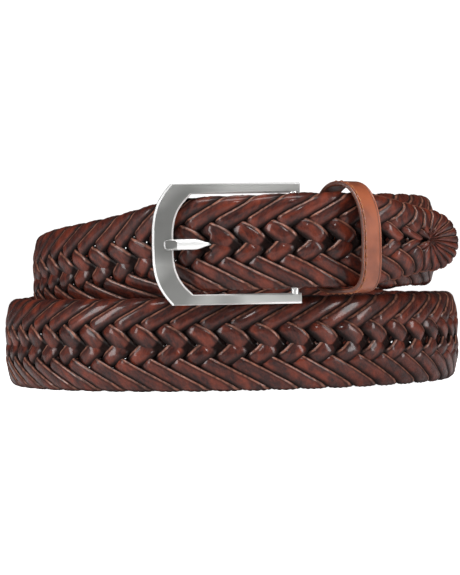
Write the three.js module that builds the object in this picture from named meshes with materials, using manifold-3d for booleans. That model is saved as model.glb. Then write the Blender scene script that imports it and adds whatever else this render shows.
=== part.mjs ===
// Braided leather belt, fastened on itself and coiled twice, standing on its lower edge.
// Millimetres, +Z up, buckle side toward -Y. The coil is built about its own middle and then moved so that
// the origin is on the floor, under the middle of the whole belt.
// Plan angles are counted from -Y toward +X, the way the strap runs from its buckle end to its tip.

import * as THREE from 'three';
import { mergeVertices } from 'three/addons/utils/BufferGeometryUtils.js';
import Module from 'manifold-3d';

const wasm = await Module();
wasm.setup();

// Clearances
const CLEARANCE = 0.3;
const PRONG_SLOT_CLEARANCE = 0.4;
const FRAME_PASS_CLEARANCE = 0.7;
const TAB_GRIP_CLEARANCE = 0.4;

// Braided strap
const STRAP_WIDTH = 32;
const STRAP_THICKNESS = 4.6;
const EDGE_THICKNESS = 1.5;
const RIB_HEIGHT = 0.5;
const BRAID_PITCH = 10.26;
const BRAID_PHASE = 1.63;
const BRAID_HOLE_HEIGHT = 5.3;
const BRAID_LEAN = 33;
const CLASPED_THICKNESS = 3;
const CLASP_TAPER_LENGTH = 10;
const SHEAR_FADE_LENGTH = 52;
const TIP_LENGTH = 50;
const TIP_THINNING = 0.5;
const TIP_SWELL = { from: -0.1, to: 0.3 };
const TIP_DROOP = 1.4;
const TIP_FINE_SHARE = 0.3;
const TIP_SHEAR_END = 0.25;
const HOLE_SHEAR_SHARE = 0.4;

// Coil
const COIL_RADIUS = 82;
const FLOOR_ARC = { from: 285, to: 440, step: 27 };
const UPPER_RADIUS = 64.5;
const UPPER_ARC_END = 38;
const TIP_BEND_RADIUS = 120;
const TIP_REACH = 40;

// Buckle, its middle a little under the strap's
const BUCKLE_DROP = 0.7;
const HEEL_ANGLE = 14;
const HEEL_HEADING = 8;
const HEEL_STANDOFF = 2.7;
const HEEL_BAR_RADIUS = 1.3;
const FRAME_LENGTH = 49.2;
const FRAME_OVERHANG = 2;
const FRAME_RAIL_HEIGHT = 3.5;
const FRAME_FRONT_BAR = 6.9;
const FRAME_THICKNESS = 2.8;
const FRAME_BEND_RADIUS = 250;
const FRAME_BEVEL = 0.7;
const PRONG_WIDTH = 3.6;
const PRONG_THICKNESS = 2.6;
const PRONG_EYE_WALL = 1.4;
const PRONG_TIP_OVERLAP = 3.3;
const PRONG_SIDES = 10;
const PRONG_SQUARENESS = 0.7;
const PRONG_NOSE_TURN = 0.92;

// Leather tab that folds round the heel bar and clasps the buckle end
const TAB_WALL = 1.3;
const TAB_HEIGHT = 22;
const TAB_REACH = 18;
const BRAID_START = 7;

// Keeper loop
const KEEPER_WALL = 1.4;
const KEEPER_WIDTH = 8.5;
const KEEPER_BULGE = 5.95;
const KEEPER_TOP_GAP = 2.2;
const KEEPER_FOOT_GAP = 0.5;
const KEEPER_ANGLE = 24.5;
const KEEPER_YAW = 17.5;
const KEEPER_TOP_ROUNDNESS = 2.25;
const KEEPER_FOOT_ROUNDNESS = 4;

// Half section of the strap: share of the half width, share of the half thickness, rib share
const SECTION_ROWS = [
  { out: 0, thick: 0.45, rib: 0 },
  { out: BRAID_HOLE_HEIGHT / STRAP_WIDTH, thick: 0.8, rib: 0.6 },
  { out: 0.54, thick: 1, rib: 1 },
  { out: 0.85, thick: 0.82, rib: 1 },
  { out: 1, thick: EDGE_THICKNESS / STRAP_THICKNESS, rib: 0 },
];

// Outline of the tip: share of the tip length back from its end, share of the strap's half width
const TIP_OUTLINE = [
  { back: 0, half: 0.12 },
  { back: 0.016, half: 0.2 },
  { back: 0.05, half: 0.31 },
  { back: 0.1, half: 0.41 },
  { back: 0.18, half: 0.52 },
  { back: 0.32, half: 0.62 },
  { back: 0.58, half: 0.77 },
  { back: 0.8, half: 0.9 },
  { back: 1, half: 1 },
];

// First turn, from the upper arc down to the floor: plan angle, share of the coil radius,
// share of the climb between the tiers
const DESCENT = [
  { angle: 104, radius: 0.9, level: 1, lean: 0 },
  { angle: 118, radius: 0.945, level: 0.985, lean: 0 },
  { angle: 132, radius: 0.985, level: 0.93, lean: 0 },
  { angle: 150, radius: 1.02, level: 0.817, lean: 0 },
  { angle: 172, radius: 1.035, level: 0.625, lean: 0 },
  { angle: 195, radius: 1.035, level: 0.403, lean: 0 },
  { angle: 220, radius: 1.03, level: 0.183, lean: 0 },
  { angle: 240, radius: 1.02, level: 0.055, lean: 0 },
  { angle: 262, radius: 1.005, level: 0, lean: 0 },
];

// Second turn, from the floor up inside the first and out to the buckle, with its lean in degrees
const ASCENT = [
  { angle: 447, radius: 0.995, level: 0, lean: 0 },
  { angle: 470, radius: 0.965, level: 0, lean: 0 },
  { angle: 490, radius: 0.93, level: 0.018, lean: 0 },
  { angle: 510, radius: 0.915, level: 0.087, lean: 0 },
  { angle: 532, radius: 0.905, level: 0.207, lean: 0 },
  { angle: 555, radius: 0.9, level: 0.353, lean: 0 },
  { angle: 580, radius: 0.892, level: 0.508, lean: 0 },
  { angle: 605, radius: 0.882, level: 0.615, lean: 0 },
  { angle: 630, radius: 0.873, level: 0.673, lean: 0 },
  { angle: 645, radius: 0.868, level: 0.7, lean: 1 },
  { angle: 660, radius: 0.868, level: 0.735, lean: 3 },
  { angle: 675, radius: 0.882, level: 0.77, lean: 6 },
  { angle: 688, radius: 0.905, level: 0.82, lean: 10 },
  { angle: 697, radius: 0.94, level: 0.875, lean: 13 },
  { angle: 703, radius: 0.978, level: 0.925, lean: 11 },
  { angle: 710, radius: 1.027, level: 0.968, lean: 5 },
  { angle: 717, radius: 1.064, level: 0.982, lean: 2 },
  { angle: 725, radius: 1.085, level: 0.987, lean: 0 },
];

// Rounded front end of the frame: share of the half height, share of the end's inset
const FRAME_END_INSET = 6.4;
const FRAME_END = [
  { up: 0, inset: 0 },
  { up: 0.3, inset: 0.02 },
  { up: 0.5, inset: 0.11 },
  { up: 0.68, inset: 0.29 },
  { up: 0.85, inset: 0.6 },
  { up: 1, inset: 1 },
];

const LEATHER_BRAID = new THREE.MeshStandardMaterial({ color: 0x4a231b, roughness: 0.42, metalness: 0 });
const LEATHER_PLAIN = new THREE.MeshStandardMaterial({ color: 0x8f4a31, roughness: 0.45, metalness: 0 });
const NICKEL = new THREE.MeshStandardMaterial({ color: 0xb9b9b4, roughness: 0.3, metalness: 1 });

// Sizes that follow from the ones above
const HALF_WIDTH = STRAP_WIDTH / 2;
const HALF_THICKNESS = STRAP_THICKNESS / 2;
const HALF_PITCH = BRAID_PITCH / 2;
const TIER_CLIMB = STRAP_WIDTH + CLEARANCE + KEEPER_WALL + KEEPER_FOOT_GAP;
const UPPER_LEVEL = HALF_WIDTH + TIER_CLIMB;
const TAB_HALF = CLASPED_THICKNESS / 2 + TAB_GRIP_CLEARANCE + TAB_WALL;
const WRAP_HALF = Math.max(HEEL_BAR_RADIUS + CLEARANCE + PRONG_EYE_WALL, TAB_HALF);
const STACK_PITCH = WRAP_HALF + TAB_GRIP_CLEARANCE + HALF_THICKNESS;
const WINDOW_HALF = HALF_WIDTH + FRAME_PASS_CLEARANCE;
const FRAME_HALF = WINDOW_HALF + FRAME_RAIL_HEIGHT;
const BUCKLE_LEVEL = UPPER_LEVEL - BUCKLE_DROP;

const rad = THREE.MathUtils.degToRad;

// A plan point at a plan angle and radius about a centre
function polar(centre, angle, radius, z) {
  const a = rad(angle);
  return new THREE.Vector3(centre.x + radius * Math.sin(a), centre.y - radius * Math.cos(a), z);
}

// A row of a table, interpolated: x is looked up in one column and y read from the other
function lookUp(table, xKey, yKey, x) {
  let row = 1;
  while (row < table.length - 1 && table[row][xKey] < x) row += 1;
  const low = table[row - 1];
  const high = table[row];
  const share = THREE.MathUtils.clamp((x - low[xKey]) / (high[xKey] - low[xKey]), 0, 1);
  return low[yKey] + share * (high[yKey] - low[yKey]);
}

// The heel bar's place and the directions along and out of the buckle there
const COIL_CENTRE = new THREE.Vector3(0, 0, 0);
const HEEL = polar(COIL_CENTRE, HEEL_ANGLE, COIL_RADIUS + HALF_THICKNESS + HEEL_STANDOFF, BUCKLE_LEVEL);
const HEEL_ALONG = new THREE.Vector3(Math.cos(rad(HEEL_HEADING)), Math.sin(rad(HEEL_HEADING)), 0);
const HEEL_OUT = new THREE.Vector3(Math.sin(rad(HEEL_HEADING)), -Math.cos(rad(HEEL_HEADING)), 0);
const INNER_RADIUS = UPPER_RADIUS - STACK_PITCH;
const UPPER_CENTRE = HEEL.clone().addScaledVector(HEEL_OUT, -INNER_RADIUS);

// A point in the buckle's own frame: along the strap, out from the coil, up from the strap's middle
function heelPoint(along, out, up) {
  return HEEL.clone()
    .addScaledVector(HEEL_ALONG, along)
    .addScaledVector(HEEL_OUT, out)
    .add(new THREE.Vector3(0, 0, up));
}

// Stations of the strap's middle line, each with its lean
function strapStations() {
  const stations = [];
  const add = (point, lean = 0) => stations.push({ point, lean });
  const tableStation = (row) => {
    const level = HALF_WIDTH + row.level * TIER_CLIMB;
    add(polar(COIL_CENTRE, row.angle, row.radius * COIL_RADIUS, level), row.lean);
  };
  const startAngle = HEEL_HEADING + THREE.MathUtils.radToDeg(BRAID_START / INNER_RADIUS);
  const innerSteps = 7;
  for (let i = 0; i <= innerSteps; i += 1) {
    const angle = THREE.MathUtils.lerp(startAngle, 90, i / innerSteps);
    add(polar(UPPER_CENTRE, angle, INNER_RADIUS, UPPER_LEVEL));
  }
  DESCENT.forEach(tableStation);
  for (let { from: angle } = FLOOR_ARC; angle < FLOOR_ARC.to; angle += FLOOR_ARC.step) {
    add(polar(COIL_CENTRE, angle, COIL_RADIUS, HALF_WIDTH));
  }
  ASCENT.forEach(tableStation);
  const outerSteps = 3;
  for (let i = 0; i <= outerSteps; i += 1) {
    const angle = THREE.MathUtils.lerp(HEEL_HEADING, UPPER_ARC_END, i / outerSteps);
    add(polar(UPPER_CENTRE, angle, UPPER_RADIUS, UPPER_LEVEL));
  }
  const tipCentre = polar(UPPER_CENTRE, UPPER_ARC_END, UPPER_RADIUS - TIP_BEND_RADIUS, 0);
  const tipTurn = THREE.MathUtils.radToDeg(TIP_REACH / TIP_BEND_RADIUS);
  const tipSteps = 3;
  for (let i = 1; i <= tipSteps; i += 1) {
    const angle = UPPER_ARC_END + (tipTurn * i) / tipSteps;
    add(polar(tipCentre, angle, TIP_BEND_RADIUS, UPPER_LEVEL - TIP_DROOP * (i / tipSteps) ** 2));
  }
  return stations;
}

// The middle line as a curve read by its length, with the strap's own directions at each place
class StrapPath {
  constructor(stations) {
    this.leans = stations.map((station) => station.lean);
    this.curve = new THREE.CatmullRomCurve3(stations.map((station) => station.point), false, 'centripetal');
    this.curve.arcLengthDivisions = 3000;
    this.length = this.curve.getLength();
  }

  frameAt(distance) {
    const u = THREE.MathUtils.clamp(distance / this.length, 0, 1);
    const position = this.curve.getPointAt(u);
    position.z = THREE.MathUtils.clamp(position.z, HALF_WIDTH, UPPER_LEVEL);
    const along = this.curve.getTangentAt(u);
    const out = new THREE.Vector3(along.y, -along.x, 0).normalize();
    const up = new THREE.Vector3().crossVectors(out, along).normalize();
    const at = this.curve.getUtoTmapping(u) * (this.leans.length - 1);
    const low = Math.min(Math.floor(at), this.leans.length - 2);
    const lean = rad(THREE.MathUtils.lerp(this.leans[low], this.leans[low + 1], at - low));
    const leanedUp = up.clone().multiplyScalar(Math.cos(lean)).addScaledVector(out, Math.sin(lean));
    const leanedOut = out.clone().multiplyScalar(Math.cos(lean)).addScaledVector(up, -Math.sin(lean));
    return { position, out: leanedOut, up: leanedUp };
  }
}

const path = new StrapPath(strapStations());

// Where the columns of the braid start along the middle line: the strap's end, two to a pitch from where the
// braid's pattern first fits, and closer at the tip's end
function strapColumns() {
  const fineRows = TIP_OUTLINE.filter((row) => row.back < TIP_FINE_SHARE);
  const tipRows = fineRows.map((row) => path.length - row.back * TIP_LENGTH);
  const lastRegular = Math.min(...tipRows) - HALF_PITCH / 2;
  const columns = [0];
  for (let distance = BRAID_PHASE; distance < lastRegular; distance += HALF_PITCH) columns.push(distance);
  return columns.concat(tipRows.reverse());
}

// How far a row of the section runs ahead of the middle line, so that the ribs lean like the strands
function rowShear(row) {
  if (row === 0) return 0;
  const rise = (SECTION_ROWS[row].out - SECTION_ROWS[1].out) * HALF_WIDTH;
  return HALF_PITCH / 2 + rise / Math.tan(rad(BRAID_LEAN));
}

// The lean of the ribs dies away toward both ends of the strap
function shearShare(distance) {
  const fromStart = distance / SHEAR_FADE_LENGTH;
  const fromEnd = (path.length - distance) / SHEAR_FADE_LENGTH - TIP_SHEAR_END;
  return THREE.MathUtils.clamp(Math.min(fromStart, fromEnd), 0, 1);
}

// Half thickness of the strap: pressed flat in the tab, full beyond it, thinner at the tip's end
function halfThicknessAt(distance) {
  const clasped = TAB_REACH - BRAID_START;
  const swell = THREE.MathUtils.smoothstep(distance, clasped, clasped + CLASP_TAPER_LENGTH);
  const full = THREE.MathUtils.lerp(CLASPED_THICKNESS / 2, HALF_THICKNESS, swell);
  const tipShare = (path.length - distance) / TIP_LENGTH;
  const tip = THREE.MathUtils.smoothstep(tipShare, TIP_SWELL.from, TIP_SWELL.to);
  return full * THREE.MathUtils.lerp(TIP_THINNING, 1, tip);
}

// The braided band: one skin of ribbed faces, pierced by a diamond gap at every pitch
function braidedStrap() {
  const columns = strapColumns();
  const reach = SECTION_ROWS.length - 1;
  const rowsPerFace = 2 * reach + 1;
  const perColumn = 2 * rowsPerFace;
  const vertices = [];
  const triangles = [];

  const vertexAt = (distance, row, face, ridge) => {
    const place = Math.min(distance + rowShear(Math.abs(row)) * shearShare(distance), path.length);
    const frame = path.frameAt(place);
    const section = SECTION_ROWS[Math.abs(row)];
    const width = HALF_WIDTH * lookUp(TIP_OUTLINE, 'back', 'half', (path.length - place) / TIP_LENGTH);
    const rib = ridge ? 0 : RIB_HEIGHT * section.rib;
    const thick = halfThicknessAt(place) * section.thick - rib * shearShare(distance);
    return frame.position
      .addScaledVector(frame.up, Math.sign(row) * section.out * width)
      .addScaledVector(frame.out, face * thick);
  };
  const index = (column, row, face) => column * perColumn + (face > 0 ? 0 : rowsPerFace) + row + reach;
  const triangle = (a, b, c, face) => triangles.push(...(face > 0 ? [a, b, c] : [a, c, b]));
  const isHole = (column) => column % 2 === 0 && column + 3 < columns.length
    && columns[column] > TAB_REACH + CLASP_TAPER_LENGTH && shearShare(columns[column]) > HOLE_SHEAR_SHARE;

  columns.forEach((distance, column) => {
    for (const face of [1, -1]) {
      for (let row = -reach; row <= reach; row += 1) {
        vertices.push(...vertexAt(distance, row, face, column % 2 === 0).toArray());
      }
    }
  });

  for (let column = 0; column < columns.length - 1; column += 1) {
    const next = column + 1;
    for (const face of [1, -1]) {
      for (let row = 0; row < reach; row += 1) {
        for (const side of [1, -1]) {
          const near = index(column, side * row, face);
          const nearNext = index(next, side * row, face);
          const far = index(column, side * (row + 1), face);
          const farNext = index(next, side * (row + 1), face);
          if (row > 0 || !isHole(column)) triangle(near, nearNext, far, face * side);
          triangle(nearNext, farNext, far, face * side);
        }
      }
    }
    for (const side of [1, -1]) {
      const front = index(column, side * reach, 1);
      const frontNext = index(next, side * reach, 1);
      const back = index(column, side * reach, -1);
      const backNext = index(next, side * reach, -1);
      triangle(front, frontNext, backNext, side);
      triangle(front, backNext, back, side);
    }
    if (isHole(column)) {
      const rim = [[column, 0], [column, 1], [next, 0], [column, -1]];
      rim.forEach(([fromColumn, fromRow], corner) => {
        const [toColumn, toRow] = rim[(corner + 1) % rim.length];
        const frontFrom = index(fromColumn, fromRow, 1);
        const frontTo = index(toColumn, toRow, 1);
        const backFrom = index(fromColumn, fromRow, -1);
        const backTo = index(toColumn, toRow, -1);
        triangles.push(frontTo, frontFrom, backFrom, frontTo, backFrom, backTo);
      });
    }
  }
  for (let row = -reach; row < reach; row += 1) {
    for (const [column, face] of [[0, 1], [columns.length - 1, -1]]) {
      triangle(index(column, row, 1), index(column, row + 1, 1), index(column, row + 1, -1), face);
      triangle(index(column, row, 1), index(column, row + 1, -1), index(column, row, -1), face);
    }
  }
  return geometryOf(vertices, triangles);
}

// An indexed geometry from plain lists of coordinates and corners
function geometryOf(vertices, triangles) {
  const geometry = new THREE.BufferGeometry();
  geometry.setAttribute('position', new THREE.Float32BufferAttribute(vertices, 3));
  geometry.setIndex(triangles);
  geometry.computeVertexNormals();
  return geometry;
}

// A closed geometry as a solid for joining and cutting, and back
function solidOf(geometry) {
  const bare = geometry.clone();
  bare.deleteAttribute('normal');
  bare.deleteAttribute('uv');
  const merged = mergeVertices(bare, 1e-4);
  const vertProperties = new Float32Array(merged.attributes.position.array);
  const triVerts = new Uint32Array(merged.index.array);
  return new wasm.Manifold(new wasm.Mesh({ numProp: 3, vertProperties, triVerts }));
}

function geometryFrom(solid) {
  const mesh = solid.getMesh();
  return geometryOf(Array.from(mesh.vertProperties), Array.from(mesh.triVerts));
}

// The frame's middle surface bends back gently from the heel bar toward its front bar
function frameOut(along) {
  return -(along * along) / (2 * FRAME_BEND_RADIUS);
}

// Moves a flat shape drawn as x along, y up and z out into the buckle's place, bent like the frame
function placeOnBuckle(geometry) {
  const position = geometry.attributes.position;
  for (let i = 0; i < position.count; i += 1) {
    const along = position.getX(i);
    const point = heelPoint(along, position.getZ(i) + frameOut(along), position.getY(i));
    position.setXYZ(i, point.x, point.y, point.z);
  }
  return geometry;
}

// Heel bar and C-shaped frame with a rounded front bar, bevelled on every edge
function buckleFrame() {
  const outerTip = FRAME_OVERHANG - FRAME_LENGTH;
  const innerTip = outerTip + FRAME_FRONT_BAR;
  const endCurve = (tip, half, side) => FRAME_END.map((row) => [
    tip + row.inset * FRAME_END_INSET, side * row.up * half,
  ]);
  const railSteps = 6;
  const rail = (from, height) => Array.from({ length: railSteps }, (unused, i) => [
    THREE.MathUtils.lerp(from, FRAME_OVERHANG, (i + 1) / railSteps), height,
  ]);
  const outerTop = endCurve(outerTip, FRAME_HALF, 1).concat(rail(outerTip + FRAME_END_INSET, FRAME_HALF));
  const innerTop = endCurve(innerTip, WINDOW_HALF, 1).concat(rail(innerTip + FRAME_END_INSET, WINDOW_HALF));
  const mirror = (points) => points.map(([x, y]) => [x, -y]);
  const outline = [
    ...outerTop.slice().reverse(),
    ...mirror(outerTop).slice(1),
    ...mirror(innerTop).reverse(),
    ...innerTop.slice(1),
  ];
  const corners = outline.map(([x, y]) => new THREE.Vector2(x, y));
  const plate = new THREE.ExtrudeGeometry(new THREE.Shape(corners), {
    depth: FRAME_THICKNESS - 2 * FRAME_BEVEL,
    bevelEnabled: true,
    bevelThickness: FRAME_BEVEL,
    bevelSize: FRAME_BEVEL,
    bevelOffset: -FRAME_BEVEL,
    bevelSegments: 1,
    steps: 1,
  });
  plate.translate(0, 0, FRAME_BEVEL - FRAME_THICKNESS / 2);
  const barLength = 2 * WINDOW_HALF + FRAME_RAIL_HEIGHT;
  const bar = new THREE.CylinderGeometry(HEEL_BAR_RADIUS, HEEL_BAR_RADIUS, barLength, 16);
  return geometryFrom(solidOf(placeOnBuckle(plate)).add(solidOf(placeOnBuckle(bar))));
}

// Outline of a strip of even thickness along a plan line, as a shape to stand up
function stripOutline(line, thickness) {
  const sides = [[], []];
  line.forEach((point, i) => {
    const before = line[Math.max(i - 1, 0)];
    const after = line[Math.min(i + 1, line.length - 1)];
    const across = new THREE.Vector2(before.y - after.y, after.x - before.x).normalize();
    sides[0].push(point.clone().addScaledVector(across, thickness / 2));
    sides[1].push(point.clone().addScaledVector(across, -thickness / 2));
  });
  return new THREE.Shape(sides[0].concat(sides[1].reverse()));
}

// Upright block between two levels from a plan outline
function standUp(outline, low, high) {
  const geometry = new THREE.ExtrudeGeometry(outline, { depth: high - low, bevelEnabled: false });
  return geometry.translate(0, 0, low);
}

// Plan line of one leg of the tab, kept at an even distance from the clasped braid
function tabLegLine(offset) {
  const steps = 6;
  return Array.from({ length: steps + 1 }, (unused, i) => {
    const turn = THREE.MathUtils.radToDeg((TAB_REACH * (1 - i / steps)) / INNER_RADIUS);
    const point = polar(UPPER_CENTRE, HEEL_HEADING + turn, INNER_RADIUS + offset, 0);
    return new THREE.Vector2(point.x, point.y);
  });
}

// The tab: two legs on the braid's faces, joined by a fold round the heel bar, with a slot for the prong
function buckleTab() {
  const legOffset = TAB_HALF - TAB_WALL / 2;
  const foldSteps = 8;
  const fold = Array.from({ length: foldSteps - 1 }, (unused, i) => {
    const turn = (Math.PI * (i + 1)) / foldSteps;
    const point = heelPoint(-legOffset * Math.sin(turn), legOffset * Math.cos(turn), 0);
    return new THREE.Vector2(point.x, point.y);
  });
  const line = [...tabLegLine(legOffset), ...fold, ...tabLegLine(-legOffset).reverse()];
  const low = UPPER_LEVEL - TAB_HEIGHT / 2;
  const strip = solidOf(standUp(stripOutline(line, TAB_WALL), low, low + TAB_HEIGHT));
  const slotHalf = PRONG_WIDTH / 2 + CLEARANCE;
  const slotReach = HEEL_BAR_RADIUS + PRONG_EYE_WALL + 3 * CLEARANCE;
  const slotDepth = 2 * (legOffset + TAB_WALL);
  const slot = new THREE.BoxGeometry(2 * slotReach, slotDepth, 2 * slotHalf);
  slot.rotateZ(rad(HEEL_HEADING)).translate(HEEL.x, HEEL.y, HEEL.z);
  return geometryFrom(strip.subtract(solidOf(slot)));
}

// Shank of the prong, grown by a margin: its middle line runs from the eye to the front bar
function prongShank(margin) {
  const eyeRadius = HEEL_BAR_RADIUS + CLEARANCE + PRONG_EYE_WALL / 2;
  const barInner = FRAME_OVERHANG - FRAME_LENGTH + FRAME_FRONT_BAR;
  const end = barInner - PRONG_TIP_OVERLAP;
  const rest = frameOut(barInner) + FRAME_THICKNESS / 2 + CLEARANCE + PRONG_THICKNESS / 2;
  const rounding = 4;
  const vertices = [];
  const triangles = [];
  const stations = [
    { along: -eyeRadius + margin, size: 1 },
    { along: barInner / 2, size: 1 },
    { along: barInner, size: 1 },
  ];
  for (let i = 0; i <= rounding; i += 1) {
    const turn = (Math.PI / 2) * (i / rounding) * PRONG_NOSE_TURN;
    const nose = PRONG_WIDTH / 2;
    stations.push({ along: end + nose - nose * Math.sin(turn) - margin, size: Math.cos(turn) });
  }
  for (const { along, size } of stations) {
    const out = rest * THREE.MathUtils.clamp(along / barInner, 0, 1);
    for (let side = 0; side < PRONG_SIDES; side += 1) {
      const turn = (2 * Math.PI * (side + 0.5)) / PRONG_SIDES;
      const square = (value) => Math.sign(value) * Math.abs(value) ** PRONG_SQUARENESS;
      const width = (PRONG_WIDTH / 2) * size + margin;
      const depth = (PRONG_THICKNESS / 2) * size + margin;
      const point = heelPoint(along, out + depth * square(Math.sin(turn)), width * square(Math.cos(turn)));
      vertices.push(...point.toArray());
    }
  }
  const rings = stations.length;
  for (let ring = 0; ring < rings - 1; ring += 1) {
    for (let side = 0; side < PRONG_SIDES; side += 1) {
      const a = ring * PRONG_SIDES + side;
      const b = ring * PRONG_SIDES + ((side + 1) % PRONG_SIDES);
      triangles.push(a, b + PRONG_SIDES, b, a, a + PRONG_SIDES, b + PRONG_SIDES);
    }
  }
  for (let side = 1; side < PRONG_SIDES - 1; side += 1) {
    triangles.push(0, side, side + 1);
    const last = (rings - 1) * PRONG_SIDES;
    triangles.push(last, last + side + 1, last + side);
  }
  return geometryOf(vertices, triangles);
}

// The prong: an eye round the heel bar and a shank that rests on the front bar
function prong() {
  const inner = HEEL_BAR_RADIUS + CLEARANCE;
  const outer = inner + PRONG_EYE_WALL;
  const ring = new THREE.Shape().absarc(0, 0, outer, 0, 2 * Math.PI, false);
  ring.holes.push(new THREE.Path().absarc(0, 0, inner, 0, 2 * Math.PI, true));
  const eye = new THREE.ExtrudeGeometry(ring, { depth: PRONG_WIDTH, bevelEnabled: false, curveSegments: 8 });
  eye.translate(HEEL.x, HEEL.y, HEEL.z - PRONG_WIDTH / 2);
  return geometryFrom(solidOf(eye).add(solidOf(prongShank(0))));
}

// A line round the stacked straps in the keeper's own plane, out and up: a round arch over their top edges
// and a flatter foot under them
function keeperRing(wall, count) {
  const outHalf = STACK_PITCH / 2 + HALF_THICKNESS + KEEPER_BULGE + wall;
  return Array.from({ length: count }, (unused, i) => {
    const turn = (2 * Math.PI * i) / count;
    const cos = Math.cos(turn);
    const sin = Math.sin(turn);
    const power = 2 / (sin < 0 ? KEEPER_FOOT_ROUNDNESS : KEEPER_TOP_ROUNDNESS);
    const upHalf = HALF_WIDTH + wall + (sin < 0 ? KEEPER_FOOT_GAP : KEEPER_TOP_GAP);
    return [
      outHalf * Math.sign(cos) * Math.abs(cos) ** power,
      upHalf * Math.sign(sin) * Math.abs(sin) ** power,
    ];
  });
}

// The keeper: a loose leather loop round both straps, standing proud of them
function keeperLoop() {
  const count = 36;
  const rings = [keeperRing(KEEPER_WALL, count), keeperRing(0, count)];
  const middle = polar(UPPER_CENTRE, KEEPER_ANGLE, INNER_RADIUS + STACK_PITCH / 2, UPPER_LEVEL);
  const heading = rad(KEEPER_ANGLE + KEEPER_YAW);
  const along = new THREE.Vector3(Math.cos(heading), Math.sin(heading), 0);
  const out = new THREE.Vector3(Math.sin(heading), -Math.cos(heading), 0);
  const vertices = [];
  const triangles = [];
  for (const [ring, edge] of [[0, -1], [0, 1], [1, 1], [1, -1]]) {
    for (const [outward, upward] of rings[ring]) {
      const point = middle.clone()
        .addScaledVector(along, (edge * KEEPER_WIDTH) / 2)
        .addScaledVector(out, outward)
        .add(new THREE.Vector3(0, 0, upward));
      vertices.push(...point.toArray());
    }
  }
  for (let band = 0; band < 4; band += 1) {
    for (let i = 0; i < count; i += 1) {
      const a = band * count + i;
      const b = band * count + ((i + 1) % count);
      const c = ((band + 1) % 4) * count + i;
      const d = ((band + 1) % 4) * count + ((i + 1) % count);
      triangles.push(a, d, b, a, c, d);
    }
  }
  return geometryOf(vertices, triangles);
}

// The strap with the slot that the prong opens between its strands
function piercedStrap() {
  return geometryFrom(solidOf(braidedStrap()).subtract(solidOf(prongShank(PRONG_SLOT_CLEARANCE))));
}

function piece(name, geometry, material) {
  const mesh = new THREE.Mesh(geometry, material);
  mesh.name = name;
  return mesh;
}

const belt = new THREE.Group();
belt.add(
  piece('strap', piercedStrap(), LEATHER_BRAID),
  piece('buckle_frame', buckleFrame(), NICKEL),
  piece('prong', prong(), NICKEL),
  piece('buckle_tab', buckleTab(), LEATHER_PLAIN),
  piece('keeper_loop', keeperLoop(), LEATHER_PLAIN),
);

const extent = new THREE.Box3().setFromObject(belt);
const footprintCentre = extent.getCenter(new THREE.Vector3());
belt.position.set(-footprintCentre.x, -footprintCentre.y, -extent.min.z);

export default belt;
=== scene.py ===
"""Braided leather belt, fastened on itself and coiled twice, standing on its lower edge.

Every size inside a class is in millimetres and every mesh is handed to Blender in metres. The belt is
one strap of ten plaited strands, a bent metal buckle frame with its prong, a folded tab that holds the
buckle end, and a loose keeper loop. Plan angles are counted from the buckle side (-Y) toward +X.
"""

import logging
import math
from dataclasses import dataclass
from enum import Enum

import bpy
import numpy as np
from mathutils import Matrix


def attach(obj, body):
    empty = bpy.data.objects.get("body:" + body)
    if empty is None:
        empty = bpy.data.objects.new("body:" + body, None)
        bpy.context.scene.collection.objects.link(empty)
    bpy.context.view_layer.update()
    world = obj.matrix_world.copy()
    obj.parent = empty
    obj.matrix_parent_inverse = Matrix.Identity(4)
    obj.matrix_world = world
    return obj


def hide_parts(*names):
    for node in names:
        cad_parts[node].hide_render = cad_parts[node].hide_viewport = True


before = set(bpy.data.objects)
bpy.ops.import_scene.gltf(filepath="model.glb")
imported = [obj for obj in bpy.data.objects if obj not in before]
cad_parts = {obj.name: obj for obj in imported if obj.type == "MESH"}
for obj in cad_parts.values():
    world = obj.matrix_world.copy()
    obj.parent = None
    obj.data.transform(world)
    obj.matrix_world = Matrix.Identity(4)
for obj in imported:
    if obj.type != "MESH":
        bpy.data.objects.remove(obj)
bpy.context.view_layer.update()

MM = 0.001
GOLDEN_SHARE = 0.618
BODY = "root"
UP = np.array([0.0, 0.0, 1.0])
WHITE = (1.0, 1.0, 1.0, 1.0)
Flat = tuple[float, float]
Place = tuple[float, float, float]
Material = bpy.types.Material
Piece = bpy.types.Object
Socket = bpy.types.NodeSocket
log = logging.getLogger("braided_belt")

# Sizes of the buckle that the strap, the frame and the prong share, in millimetres
FRAME_BEND_RADIUS = 250.0
FRAME_LENGTH = 49.2
FRAME_OVERHANG = 2.0
FRAME_FRONT_BAR = 6.9
FRAME_THICKNESS = 2.8
PRONG_THICKNESS = 2.6
HEEL_BAR_RADIUS = 1.3
CLEARANCE = 0.3
PRONG_REACH = FRAME_OVERHANG - FRAME_LENGTH + FRAME_FRONT_BAR


def frame_out(along: np.ndarray) -> np.ndarray:
    """The frame's middle surface bends back from the heel bar: minus the square of the run over twice
    the bend's radius."""
    return -(along * along) / (2.0 * FRAME_BEND_RADIUS)


PRONG_REST = float(frame_out(PRONG_REACH)) + FRAME_THICKNESS / 2.0 + CLEARANCE + PRONG_THICKNESS / 2.0


class Slot(Enum):
    """The record's material slots."""

    BRAID = "braid_leather"
    PLAIN = "plain_leather"
    METAL = "nickel"


class Lay(Enum):
    """Which face of the strap a traverse of a strand climbs: its sign turns the strand's own face."""

    RISING = 1.0
    FALLING = -1.0


def smooth_step(value: np.ndarray, low: float, high: float) -> np.ndarray:
    """Cubic ease from 0 below low to 1 above high: 3t^2 - 2t^3 of the share t between them."""
    share = np.clip((value - low) / (high - low), 0.0, 1.0)
    return share * share * (3.0 - 2.0 * share)


def polar(centre: Flat, angle: float, radius: float, level: float) -> Place:
    """The point at a plan angle in degrees and a radius about a centre, at a level."""
    turn = math.radians(angle)
    return centre[0] + radius * math.sin(turn), centre[1] - radius * math.cos(turn), level


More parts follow.
